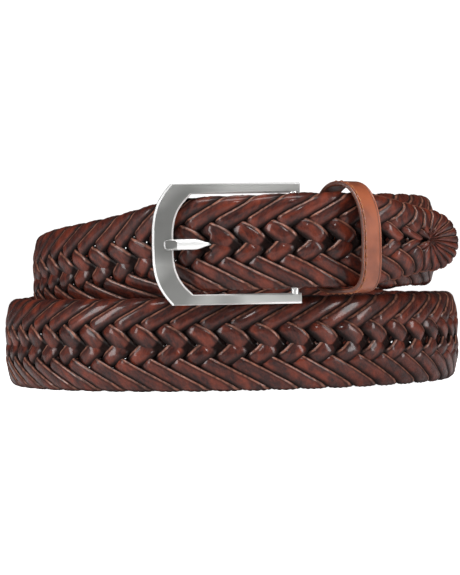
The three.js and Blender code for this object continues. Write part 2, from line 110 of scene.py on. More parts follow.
def signed_power(value: np.ndarray, power: float) -> np.ndarray:
    """A power of the size of a value that keeps its sign, as superellipses use."""
    return np.sign(value) * np.abs(value) ** power


def linked(name: str, data: bpy.types.ID) -> Piece:
    """A new object that holds some data, linked to the scene."""
    piece = bpy.data.objects.new(name, data)
    bpy.context.scene.collection.objects.link(piece)
    return piece


def mesh_object(name: str, points: np.ndarray, faces: list[tuple[int, ...]]) -> Piece:
    """Makes a mesh object from points in millimetres, with its faces turned outward.

    The enclosed volume, summed as tetrahedra from the origin, tells which way the faces point.

    Args:
        name: Name of the object.
        points: Corner points, one row each.
        faces: Corner numbers of each face.

    Returns:
        The new object, linked to the scene.
    """
    fans = [(face[0], face[i], face[i + 1]) for face in faces for i in range(1, len(face) - 1)]
    a, b, c = (points[np.array(fans)[:, corner]] for corner in range(3))
    if np.einsum("ij,ij->", a, np.cross(b, c)) < 0.0:
        faces = [face[::-1] for face in faces]
    mesh = bpy.data.meshes.new(name)
    mesh.from_pydata((points * MM).tolist(), [], faces)
    mesh.polygons.foreach_set("use_smooth", np.ones(len(mesh.polygons), dtype=bool))
    mesh.update()
    return linked(name, mesh)


def circle(count: int, shift: float = 0.0) -> np.ndarray:
    """Angles evenly spaced round a whole turn, the first of them shifted by a share of a step."""
    return 2.0 * np.pi * (np.arange(count) + shift) / count


def ring_faces(rings: int, sides: int, capped: bool = True) -> list[tuple[int, ...]]:
    """Quads between neighbouring rings of a tube, with a flat cap at each end or the last ring joined on.

    Args:
        rings: Number of rings along the tube.
        sides: Points in each ring.
        capped: True for a tube with two ends, False for one that closes on itself.

    Returns:
        Corner numbers of each face.
    """
    last = rings - 1 if capped else rings
    ring = np.arange(last)[:, None]
    side = np.arange(sides)[None, :]
    near = ring * sides
    far = ((ring + 1) % rings) * sides
    after = (side + 1) % sides
    quads = np.stack([near + side, near + after, far + after, far + side], axis=-1).reshape(-1, 4)
    faces = [tuple(quad) for quad in quads.tolist()]
    if capped:
        faces.append(tuple(range(sides))[::-1])
        faces.append(tuple(range((rings - 1) * sides, rings * sides)))
    return faces


def tube(name: str, points: np.ndarray, capped: bool = True, sharp: float | None = None) -> Piece:
    """Makes a piece from rings of points.

    Args:
        name: Name of the piece.
        points: Points in millimetres, as rings by sides by 3.
        capped: True for two ends, False for a tube that closes on itself.
        sharp: Angle in degrees past which an edge is sharp, or None where all is smooth.

    Returns:
        The piece.
    """
    rings, sides = points.shape[:2]
    piece = mesh_object(name, points.reshape(-1, 3), ring_faces(rings, sides, capped))
    if sharp is not None:
        piece.data.set_sharp_from_angle(angle=math.radians(sharp))
    return piece


def set_attribute(piece: Piece, name: str, values: np.ndarray) -> None:
    """Keeps one number for each corner point, which a material can read by name."""
    attribute = piece.data.attributes.new(name, "FLOAT", "POINT")
    attribute.data.foreach_set("value", np.ascontiguousarray(values, dtype=np.float32).ravel())


def mount(piece: Piece, slot: Slot, material: Material, *nodes: str) -> None:
    """Gives a new piece its body and its finish, and hides the solids that it stands for."""
    piece.data.materials.append(material)
    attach(piece, BODY)
    if nodes:
        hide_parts(*nodes)
    log.info("%s: %d faces", piece.name, len(piece.data.polygons))


def second_finish(piece: Piece, material: Material, chosen: np.ndarray) -> None:
    """Gives the chosen faces of a piece a finish of their own."""
    piece.data.materials.append(material)
    piece.data.polygons.foreach_set("material_index", chosen.astype(np.int32))


@dataclass
class StrapRoute:
    """The strap's middle line and its directions, as the construction has them."""

    width: float = 32.0
    thickness: float = 4.6
    coil_centre: Flat = (0.42, 3.673)
    coil_radius: float = 82.0
    tier_climb: float = 34.2
    buckle_drop: float = 0.7
    tip_droop: float = 1.4
    upper_radius: float = 64.5
    upper_arc_end: float = 38.0
    tip_bend_radius: float = 120.0
    tip_reach: float = 40.0
    heel_angle: float = 14.0
    heading: float = 8.0
    heel_standoff: float = 2.7
    stack_pitch: float = 5.9
    braid_start: float = 7.0
    inner_arc_end: float = 90.0
    inner_rows: int = 8
    outer_rows: int = 4
    floor_first: float = 285.0
    floor_last: float = 440.0
    floor_step: float = 27.0
    # Rows of plan angle, share of the coil's radius, share of the tier's climb, and lean in degrees
    descent: tuple = (
        (104, 0.9, 1, 0), (118, 0.945, 0.985, 0), (132, 0.985, 0.93, 0), (150, 1.02, 0.817, 0),
        (172, 1.035, 0.625, 0), (195, 1.035, 0.403, 0), (220, 1.03, 0.183, 0), (240, 1.02, 0.055, 0),
        (262, 1.005, 0, 0),
    )
    ascent: tuple = (
        (447, 0.995, 0, 0), (470, 0.965, 0, 0), (490, 0.93, 0.018, 0), (510, 0.915, 0.087, 0),
        (532, 0.905, 0.207, 0), (555, 0.9, 0.353, 0), (580, 0.892, 0.508, 0), (605, 0.882, 0.615, 0),
        (630, 0.873, 0.673, 0), (645, 0.868, 0.7, 1), (660, 0.868, 0.735, 3), (675, 0.882, 0.77, 6),
        (688, 0.905, 0.82, 10), (697, 0.94, 0.875, 13), (703, 0.978, 0.925, 11), (710, 1.027, 0.968, 5),
        (717, 1.064, 0.982, 2), (725, 1.085, 0.987, 0),
    )
    segment_steps: int = 80

    def __post_init__(self) -> None:
        """Works out the buckle's place and reads the whole route into tables by distance."""
        self.half = self.width / 2.0
        self.upper_level = self.half + self.tier_climb
        self.inner_radius = self.upper_radius - self.stack_pitch
        turn = math.radians(self.heading)
        self.heel_along = np.array([math.cos(turn), math.sin(turn), 0.0])
        self.heel_out = np.array([math.sin(turn), -math.cos(turn), 0.0])
        heel_radius = self.coil_radius + self.thickness / 2.0 + self.heel_standoff
        buckle_level = self.upper_level - self.buckle_drop
        self.heel = np.array(polar(self.coil_centre, self.heel_angle, heel_radius, buckle_level))
        centre = self.heel - self.inner_radius * self.heel_out
        self.upper_centre = (float(centre[0]), float(centre[1]))
        self.read_curve(*self.stations())

    def stations(self) -> tuple[np.ndarray, np.ndarray]:
        """Points of the middle line from the buckle end to the tip, and the lean at each in degrees."""
        start = self.heading + math.degrees(self.braid_start / self.inner_radius)
        inner = np.linspace(start, self.inner_arc_end, self.inner_rows)
        outer = np.linspace(self.heading, self.upper_arc_end, self.outer_rows)
        rows = [(*polar(self.upper_centre, a, self.inner_radius, self.upper_level), 0.0) for a in inner]
        floor = np.arange(self.floor_first, self.floor_last, self.floor_step)
        on_floor = [(a, 1.0, 0.0, 0.0) for a in floor]
        for angle, share, level, lean in [*self.descent, *on_floor, *self.ascent]:
            height = self.half + level * self.tier_climb
            rows.append((*polar(self.coil_centre, angle, share * self.coil_radius, height), lean))
        rows += [(*polar(self.upper_centre, a, self.upper_radius, self.upper_level), 0.0) for a in outer]
        straighter = self.upper_radius - self.tip_bend_radius
        tip_centre = polar(self.upper_centre, self.upper_arc_end, straighter, 0.0)[:2]
        turn = math.degrees(self.tip_reach / self.tip_bend_radius)
        for share in (1.0 / 3.0, 2.0 / 3.0, 1.0):
            level = self.upper_level - self.tip_droop * share * share
            angle = self.upper_arc_end + turn * share
            rows.append((*polar(tip_centre, angle, self.tip_bend_radius, level), 0.0))
        table = np.array(rows)
        return table[:, :3], table[:, 3]

    def read_curve(self, points: np.ndarray, leans: np.ndarray) -> None:
        """Reads a centripetal Catmull-Rom curve through the points into tables by distance.

        Each stretch is the cubic through its two points whose end slopes weigh the neighbouring chords
        by the square roots of their lengths. Outward is level and square to the curve, and both it and
        up are turned about the curve by the lean.

        Args:
            points: Points of the middle line.
            leans: Lean at each point, in degrees.
        """
        full = np.vstack([2 * points[0] - points[1], points, 2 * points[-1] - points[-2]])
        gap = np.sqrt(np.linalg.norm(np.diff(full, axis=0), axis=1))[:, None]
        before, here, after, beyond = full[:-3], full[1:-2], full[2:-1], full[3:]
        gap0, gap1, gap2 = gap[:-2], gap[1:-1], gap[2:]
        chord = (after - here) / gap1
        slope_in = ((here - before) / gap0 - (after - before) / (gap0 + gap1) + chord) * gap1
        slope_out = (chord - (beyond - here) / (gap1 + gap2) + (beyond - after) / gap2) * gap1
        square = 3 * (after - here) - 2 * slope_in - slope_out
        cube = 2 * (here - after) + slope_in + slope_out
        share = np.linspace(0.0, 1.0, self.segment_steps, endpoint=False)[None, :, None]
        bend = square[:, None] + share * cube[:, None]
        curve = here[:, None] + share * (slope_in[:, None] + share * bend)
        speed = slope_in[:, None] + share * (2 * square[:, None] + share * 3 * cube[:, None])
        curve = np.vstack([curve.reshape(-1, 3), points[-1]])
        speed = np.vstack([speed.reshape(-1, 3), (slope_in + 2 * square + 3 * cube)[-1]])
        steps = np.linalg.norm(np.diff(curve, axis=0), axis=1)
        self.distance = np.concatenate([[0.0], np.cumsum(steps)])
        self.length = float(self.distance[-1])
        curve[:, 2] = np.clip(curve[:, 2], self.half, self.upper_level)
        along = speed / np.linalg.norm(speed, axis=1)[:, None]
        out = np.stack([along[:, 1], -along[:, 0], np.zeros(len(along))], axis=1)
        out /= np.linalg.norm(out, axis=1)[:, None]
        up = np.cross(out, along)
        up /= np.linalg.norm(up, axis=1)[:, None]
        index = np.arange(len(curve)) / self.segment_steps
        lean = np.radians(np.interp(index, np.arange(len(leans)), leans))[:, None]
        self.middle = curve
        self.out = out * np.cos(lean) - up * np.sin(lean)
        self.up = up * np.cos(lean) + out * np.sin(lean)

    def read(self, table: np.ndarray, distance: np.ndarray) -> np.ndarray:
        """A table's three columns, interpolated at distances along the strap."""
        return np.stack([np.interp(distance, self.distance, table[:, i]) for i in range(3)], axis=-1)

    def place(self, distance: np.ndarray, high: np.ndarray, proud: np.ndarray) -> np.ndarray:
        """Points at distances along the strap, heights from its middle and distances out of it."""
        return (
            self.read(self.middle, distance)
            + self.read(self.up, distance) * high[..., None]
            + self.read(self.out, distance) * proud[..., None]
        )

    def on_buckle(self, along: np.ndarray, out: np.ndarray, high: np.ndarray) -> np.ndarray:
        """Points in the buckle's own frame: along the strap, out from the coil and up from its middle."""
        return (
            self.heel
            + self.heel_along * along[..., None]
            + self.heel_out * out[..., None]
            + UP * high[..., None]
        )


@dataclass
class PlaitedStrap:
    """Ten strands plaited flat: three over, three under at the edges, with small gaps up the middle."""

    route: StrapRoute
    strands: int = 10
    pitch: float = 10.26
    first_crossing: float = -6.065
    layer: float = 1.2
    strand_thickness: float = 2.35
    half_width_middle: float = 3.42
    half_width_float: float = 2.66
    middle_zone: Flat = (2.0, 6.0)
    middle_steepness: float = 1.7
    steep_reach: float = 3.0
    float_end: float = 5.6
    seam: float = -0.5
    dive: float = 1.4
    shingle: float = 0.14
    shingle_fade: Flat = (-3.0, 1.0)
    roundness: float = 0.9
    cup: float = 2.6
    cup_rest: float = 0.3
    waist: float = 0.25
    waist_reach: float = 3.6
    sides: int = 16
    step: float = 0.8
    run_before: float = 12.0
    run_after: float = 34.0
    table_step: float = 0.5
    # The end that the tab clasps
    clasped_thickness: float = 3.0
    clasp_end: float = 11.0
    clasp_taper: float = 10.0
    # The tip, where the strands crowd and fan round a focus
    fan_reach: float = 22.0
    fan_shear: float = 0.66
    fan_zone: Flat = (14.0, 48.0)
    fan_power: float = 1.5
    crowding: float = 2.5
    crowd_zone: Flat = (14.0, 26.0)
    tip_thin: float = 0.62
    tip_thin_reach: float = 16.0
    tip_highlight_zone: Flat = (45.0, 65.0)
    # Where the cupped, narrow-waisted part of the strap starts and ends
    free_start: Flat = (25.0, 70.0)
    free_end: Flat = (110.0, 150.0)
    # Room that the strands leave for the prong
    prong_half_thickness: float = 1.4
    prong_half_width: float = 2.1
    prong_cover: float = 1.5
    cover_skin: float = 0.9
    least_skin: float = 0.5
    prong_ease: float = 1.4
    heel_clear: float = 2.0
    # Rows of distance from the tip and share of the full half width
    outline: tuple = (
        (0.0, 0.12), (0.8, 0.2), (2.5, 0.31), (5.0, 0.41), (9.0, 0.52), (16.0, 0.62), (29.0, 0.77),
        (40.0, 0.9), (50.0, 1.0),
    )

    def __post_init__(self) -> None:
        """Works out the folds, the slopes and the crowding of the braid toward the tip."""
        self.fold_from = self.route.half - self.layer - self.strand_thickness / 2.0
        self.apex = self.fold_from + math.pi * self.layer / 2.0
        self.traverse = self.pitch * self.strands / 2.0
        self.slope = (self.apex - self.middle_steepness) / (self.traverse / 2.0)
        real = np.arange(0.0, self.route.length + self.table_step, self.table_step)
        left = self.route.length - real
        density = 1.0 + (self.crowding - 1.0) * (1.0 - smooth_step(left, *self.crowd_zone))
        self.real = real
        self.pattern = np.concatenate([[0.0], np.cumsum(self.table_step * density[:-1])])

    def climb(self, run: np.ndarray) -> tuple[np.ndarray, np.ndarray]:
        """Height of a strand over its crossing of the middle, and its slope there.

        The height is a straight climb plus a hyperbolic tangent, which steepens it near the middle.

        Args:
            run: Distance along the strap from the crossing.

        Returns:
            The height and the slope.
        """
        share = run / self.steep_reach
        height = self.slope * run + self.middle_steepness * np.tanh(share)
        slope = self.slope + self.middle_steepness / self.steep_reach / np.cosh(share) ** 2
        return height, slope

    def side(self, height: np.ndarray, seam: np.ndarray) -> np.ndarray:
        """Side of the strap on which a traverse lies, from -1 at the back to 1 at the front.

        It starts at the back, comes out at the first float's end, dips at the seam and comes out again.

        Args:
            height: Height of the traverse, counted the way it climbs.
            seam: Height of its seam.

        Returns:
            The side at each height.
        """
        def turn(at: np.ndarray) -> np.ndarray:
            """Change of side at a height."""
            return 2.0 * smooth_step(height - at, -self.dive, self.dive)
        return -1.0 + turn(-self.float_end) - turn(seam) + turn(self.float_end)

    def strand(self, number: int) -> tuple[np.ndarray, dict[str, np.ndarray]]:
        """Surface of one strand as rings of points, with the values that its finish reads.

        The strand is a strip drawn on the strap unfolded into one long plane, where it always climbs.
        A point of its oval section lies across the strip's slope, and the plane is then folded at both
        edges of the strap, so the strip wraps round the edge as a flat lace does.

        Args:
            number: Which strand, from 0.

        Returns:
            Points as rings by sides by 3, and each value as rings by sides.
        """
        first = self.first_crossing + number * self.pitch
        run = np.arange(-self.run_before, self.pattern[-1] + self.run_after, self.step)[:, None]
        traverse = np.round((run - first) / self.traverse)
        local = run - first - traverse * self.traverse
        height, slope = self.climb(local)
        lean = np.arctan(slope)
        turn = circle(self.sides)[None, :]
        outer = smooth_step(np.abs(height), *self.middle_zone)
        half_width = self.half_width_middle + (self.half_width_float - self.half_width_middle) * outer
        across = half_width * signed_power(np.cos(turn), self.roundness)
        thick = self.strand_thickness / 2.0 * signed_power(np.sin(turn), self.roundness)
        way = np.where(traverse % 2 == 0, Lay.RISING.value, Lay.FALLING.value)
        side = self.side(height, self.seam * way)
        before_fold = 1.0 - smooth_step(np.abs(height) - self.fold_from, *self.shingle_fade)
        thick = thick + self.shingle * side * before_fold * outer * np.cos(lean) * across
        unfolded = traverse * 2.0 * self.apex + height + across * np.cos(lean)
        pattern = run - across * np.sin(lean)
        return self.fold(pattern, unfolded, thick, traverse, side, across / half_width, number)

    def fold(self, pattern: np.ndarray, unfolded: np.ndarray, thick: np.ndarray,
             traverse: np.ndarray, side: np.ndarray, across: np.ndarray,
             number: int) -> tuple[np.ndarray, dict[str, np.ndarray]]:
        """Folds points of the unfolded plane back onto the strap and carries them along its route.

        Beyond the fold line a point turns about it in an arc: its height is the fold line plus the arc's
        radius times a sine, and its depth is the radius times a cosine.

        Args:
            pattern: Distance along the braid's pattern.
            unfolded: Height in the unfolded plane.
            thick: Offset square to the strip.
            traverse: Number of the traverse that the strip's middle is on.
            side: Side of the strap that the strip's middle is on.
            across: Share of the half width across the strip.
            number: Which strand.

        Returns:
            Points and values, as strand gives them.
        """
        own = np.round(unfolded / (2.0 * self.apex))
        local = unfolded - own * 2.0 * self.apex
        way = np.where(own % 2 == 0, Lay.RISING.value, Lay.FALLING.value)
        side = np.where(own > traverse, -1.0, np.where(own < traverse, 1.0, side))
        past = np.clip(np.abs(local) - self.fold_from, 0.0, None) / self.layer
        ending = np.sign(local)
        outward = np.where(local * way > 0, 1.0, -1.0)
        radius = self.layer + outward * thick
        folded_high = self.fold_from + radius * np.sin(past)
        folded_proud = ending * radius * np.cos(past)
        flat = past <= 0.0
        high = way * np.where(flat, local, ending * folded_high)
        proud = np.where(flat, side * self.layer + way * thick, folded_proud)
        real = np.interp(pattern, self.pattern, self.real)
        real = real + np.maximum(pattern - self.pattern[-1], 0.0) / self.crowding
        points = self.lay(real, high, proud)
        folded = np.sin(np.clip(past, 0.0, np.pi))
        # near_tip and folded make the rim value: the fold crests near the tip, where the finish paints a
        # highlight
        near_tip = 1.0 - smooth_step(self.route.length - real, *self.tip_highlight_zone)
        # depth: how far a point stands out of the strap's middle, with folds counted full; the finish paints
        # shade where it is low
        depth = np.abs(proud) / (self.route.thickness / 2.0)
        values = {
            "across": way * across,
            "length": pattern + 0.0 * high,
            "depth": np.clip(np.maximum(depth, folded), 0.0, 1.0),
            "rim": folded * near_tip,
            "strand": np.full(high.shape, (number * GOLDEN_SHARE) % 1.0),
        }
        return points, values

    def lay(self, real: np.ndarray, high: np.ndarray, proud: np.ndarray) -> np.ndarray:
        """Carries flat braid points along the strap: thinned in the clasp, fanned round the tip's focus.

        Args:
            real: Distance along the strap.
            high: Height from the middle of a full-width strap.
            proud: Distance out of the middle of a full-thickness strap.

        Returns:
            Points in space.
        """
        left = self.route.length - real
        fanned = 1.0 - smooth_step(left, *self.fan_zone)
        left = np.maximum(left + self.fan_shear * fanned * np.abs(high), 0.0)
        real = self.route.length - left
        power = 1.0 + (self.fan_power - 1.0) * fanned
        high = self.route.half * signed_power(high / self.route.half, power)
        swell = smooth_step(real, self.clasp_end, self.clasp_end + self.clasp_taper)
        clasped = self.clasped_thickness / self.route.thickness
        thin = clasped + (1.0 - clasped) * swell
        thin = thin * (self.tip_thin + (1.0 - self.tip_thin) * smooth_step(left, 0.0, self.tip_thin_reach))
        table = np.array(self.outline)
        share = np.interp(np.maximum(left, self.fan_reach), table[:, 0], table[:, 1])
        high = high * share
        fan = np.clip(1.0 - left / self.fan_reach, 0.0, 1.0) * np.pi / 2.0
        focus = np.minimum(real, self.route.length - self.fan_reach)
        ellipse = self.fan_reach / (self.route.half * share)
        distance = np.minimum(focus + np.abs(high) * ellipse * np.sin(fan), self.route.length)
        high = high * np.cos(fan)
        free = smooth_step(real, *self.free_start) * smooth_step(left, *self.free_end)
        cup = self.cup * (self.cup_rest + (1.0 - self.cup_rest) * free)
        waist = self.waist * free * np.exp(-((high / self.waist_reach) ** 2))
        proud = proud * thin * (1.0 - waist) - cup * (high / self.route.half) ** 2
        proud = self.part_for_prong(distance, high, proud)
        return self.route.place(distance, high, proud)

    def part_for_prong(self, distance: np.ndarray, high: np.ndarray, proud: np.ndarray) -> np.ndarray:
        """Presses the strands aside where the prong passes over, through and under them.

        Args:
            distance: Distance along the strap.
            high: Height from the strap's middle.
            proud: Distance out of the strap's middle.

        Returns:
            The distance out of the middle, pressed to the side of the prong that has room.
        """
        middle = self.route.read(self.route.middle, distance) - self.route.heel
        along = middle @ self.route.heel_along
        out = middle @ self.route.heel_out
        prong = PRONG_REST * np.clip(along / PRONG_REACH, 0.0, 1.0) - out
        beside = (along < -self.heel_clear) & (along > PRONG_REACH)
        beside &= distance > self.route.length / 2.0
        near = 1.0 - smooth_step(np.abs(high) - self.prong_half_width, 0.0, self.prong_ease)
        half = self.route.thickness / 2.0
        front = np.clip(prong - self.prong_half_thickness, self.least_skin - half, half)
        back = np.maximum(prong + self.prong_half_thickness, -half)
        crest = np.maximum(half, back + self.cover_skin)
        behind_it = -half + (proud + half) * (front + half) / (2.0 * half)
        before_it = crest + (proud - half) * (crest - back) / (2.0 * half)
        pressed = np.where(prong > self.prong_cover, behind_it, before_it)
        return proud + np.where(beside, near, 0.0) * (pressed - proud)

    def build(self, material: Material) -> None:
        """Makes every strand as a closed piece with one finish."""
        for number in range(self.strands):
            points, values = self.strand(number)
            piece = tube(f"strand_{number + 1:02d}", points)
            for name, value in values.items():
                set_attribute(piece, name, value)
            mount(piece, Slot.BRAID, material, "strap")


@dataclass
class BuckleFrame:
    """C-shaped metal frame with a rounded front bar, polished bevels and a round heel bar."""

    route: StrapRoute
    window_half: float = 16.7
    rail_height: float = 3.5
    bevel: float = 0.62
    back_bevel: float = 0.3
    end_inset: float = 6.4
    end_shape: tuple = ((0.0, 0.0), (0.3, 0.02), (0.5, 0.11), (0.68, 0.29), (0.85, 0.6), (1.0, 1.0))
    rows: int = 41
    rail_rows: int = 14
    smoothing: int = 9
    bar_rows: int = 9
    bar_sides: int = 24
    sharp_angle: float = 25.0
    bar_sharp_angle: float = 40.0

    def edge(self, tip: float, half: float) -> np.ndarray:
        """One edge of the frame from the upper rail's end round the front bar to the lower rail's end.

        Args:
            tip: Where its foremost point is along the buckle.
            half: Half its height.

        Returns:
            Points as along and up.
        """
        share = np.linspace(0.0, 1.0, self.rows)
        table = np.array(self.end_shape)
        inset = np.interp(share, table[:, 0], table[:, 1])
        kernel, reach = np.hanning(self.smoothing), self.smoothing // 2
        beyond = 2.0 * inset[-1] - inset[-2:-2 - reach:-1]
        padded = np.concatenate([inset[reach:0:-1], inset, beyond])
        inset = np.convolve(padded, kernel / kernel.sum(), mode="valid")
        curve = np.stack([tip + inset * self.end_inset, share * half], axis=1)
        run = np.linspace(curve[-1, 0], FRAME_OVERHANG, self.rail_rows)[1:]
        upper = np.vstack([curve, np.stack([run, np.full(len(run), half)], axis=1)])
        return np.vstack([upper[::-1], (upper * [1.0, -1.0])[1:]])

    def build(self, material: Material, polish: Material) -> None:
        """Makes the frame: flat satin faces between two edges, with a polished bevel along each.

        Args:
            material: Satin finish.
            polish: Finish of the bevels and the heel bar.
        """
        tip = FRAME_OVERHANG - FRAME_LENGTH
        outer = self.edge(tip, self.window_half + self.rail_height)
        inner = self.edge(tip + FRAME_FRONT_BAR, self.window_half)
        across = inner - outer
        across /= np.linalg.norm(across, axis=1)[:, None]
        half = FRAME_THICKNESS / 2.0
        section = (
            (outer, self.back_bevel, -half), (outer, 0.0, self.back_bevel - half),
            (outer, 0.0, half - self.bevel), (outer, self.bevel, half),
            (inner, -self.bevel, half), (inner, 0.0, half - self.bevel),
            (inner, 0.0, self.back_bevel - half), (inner, -self.back_bevel, -half),
        )
        flat = np.stack([edge + across * inward for edge, inward, _ in section], axis=1)
        depth = np.array([level for _, _, level in section])[None, :] + frame_out(flat[..., 0])
        points = self.route.on_buckle(flat[..., 0], depth, flat[..., 1])
        piece = tube("frame_plate", points, sharp=self.sharp_angle)
        mount(piece, Slot.METAL, material, "buckle_frame")
        # The strips between section points 2 and 3 and between 4 and 5 are the front bevels
        strip = np.arange(len(piece.data.polygons)) % len(section)
        second_finish(piece, polish, np.isin(strip, (2, 4)))
        self.heel_bar(polish)

    def heel_bar(self, material: Material) -> None:
        """Makes the round bar that joins the rails and carries the prong and the tab."""
        turn = circle(self.bar_sides)[None, :]
        length = self.window_half + self.rail_height / 2.0
        high = np.linspace(-length, length, self.bar_rows)[:, None]
        along = HEEL_BAR_RADIUS * np.cos(turn) + 0.0 * high
        out = HEEL_BAR_RADIUS * np.sin(turn) + 0.0 * high
        points = self.route.on_buckle(along, out, high + 0.0 * turn)
        bar = tube("heel_bar", points, sharp=self.bar_sharp_angle)
        mount(bar, Slot.METAL, material, "buckle_frame")


@dataclass
class Prong:
    """The buckle's tongue: an eye round the heel bar and a shank with a flat faceted end."""

    route: StrapRoute
    width: float = 3.6
    eye_wall: float = 1.4
    overlap: float = 3.3
    facet_length: float = 5.2
    sides: int = 32
    squareness: float = 0.55
    rows: int = 60
    nose_rows: int = 10
    nose_share: float = 0.42
    nose_fullness: float = 0.6
    nose_closed: float = 0.05
    root_share: float = 0.82
    root_zone: Flat = (10.0, 34.0)
    # Along the buckle, where the prong narrows into the braid and widens again inside it
    entry_narrows: float = 0.72
    entry_zone: Flat = (-33.5, -28.2)
    exit_zone: Flat = (-24.0, -18.0)
    end_narrows: float = 0.15
    end_zone: Flat = (-1.0, 3.4)
    facet_from: float = 1.4
    facet_depth: float = 0.75
    facet_sine: float = 0.55
    # Past the shank's end and past the front bar's inner edge, where the facet's finish lies
    facet_margins: Flat = (0.5, 1.0)
    eye_rings: int = 40
    eye_sides: int = 16
    eye_squareness: float = 0.6
    sharp_angle: float = 35.0

    def build(self, material: Material, satin: Material) -> None:
        """Makes the shank as rings of a rounded rectangle, and the eye as a ring of round section.

        Args:
            material: Bright finish of the shank and the eye.
            satin: Finish of the flat facet at the shank's end.
        """
        end = PRONG_REACH - self.overlap
        nose = self.width * self.nose_share
        start = -(HEEL_BAR_RADIUS + CLEARANCE + self.eye_wall / 2.0)
        body = np.linspace(start, end + nose, self.rows)
        turn = np.linspace(0.0, np.pi / 2.0, self.nose_rows)[1:]
        along = np.concatenate([body, end + nose - nose * np.sin(turn)])
        size = np.concatenate([np.ones(len(body)), np.cos(turn) ** self.nose_fullness])
        size[-1] = self.nose_closed
        taper = self.root_share + (1.0 - self.root_share) * smooth_step(-along, *self.root_zone)
        angle = circle(self.sides, 0.5)[None, :]
        entry = smooth_step(along, *self.entry_zone) * (1.0 - smooth_step(along, *self.exit_zone))
        past_bar = smooth_step(PRONG_REACH - along, *self.end_zone)
        narrow = (1.0 - self.entry_narrows * entry) * (1.0 - self.end_narrows * past_bar)
        breadth = (size * taper * narrow)[:, None]
        high = self.width / 2.0 * breadth * signed_power(np.cos(angle), self.squareness)
        deep = PRONG_THICKNESS / 2.0 * size[:, None] * signed_power(np.sin(angle), self.squareness)
        before = PRONG_REACH + self.facet_from - along
        facet = smooth_step(before, 0.0, self.facet_length)[:, None]
        deep = np.minimum(deep, PRONG_THICKNESS / 2.0 * (1.0 - self.facet_depth * facet))
        out = PRONG_REST * np.clip(along / PRONG_REACH, 0.0, 1.0)[:, None] + deep
        points = self.route.on_buckle(along[:, None] + 0.0 * high, out, high)
        shank = tube("prong_shank", points, sharp=self.sharp_angle)
        mount(shank, Slot.METAL, material, "prong")
        face = np.arange(len(shank.data.polygons))
        at = along[np.minimum(face // self.sides, len(along) - 1)]
        flat = np.sin(2.0 * np.pi * (face % self.sides + 1.0) / self.sides) > self.facet_sine
        past_end, past_edge = self.facet_margins
        second_finish(shank, satin, flat & (at < PRONG_REACH + past_edge) & (at > end + past_end))
        self.eye(material)

    def eye(self, material: Material) -> None:
        """Makes the eye: a rounded rectangle carried once round the heel bar."""
        turn = circle(self.eye_rings)[:, None]
        angle = circle(self.eye_sides)[None, :]
        middle = HEEL_BAR_RADIUS + CLEARANCE + self.eye_wall / 2.0
        radius = middle + self.eye_wall / 2.0 * signed_power(np.cos(angle), self.eye_squareness)
        high = self.width / 2.0 * signed_power(np.sin(angle), self.eye_squareness) + 0.0 * turn
        points = self.route.on_buckle(radius * np.cos(turn), radius * np.sin(turn), high)
        mount(tube("prong_eye", points, capped=False), Slot.METAL, material, "prong")


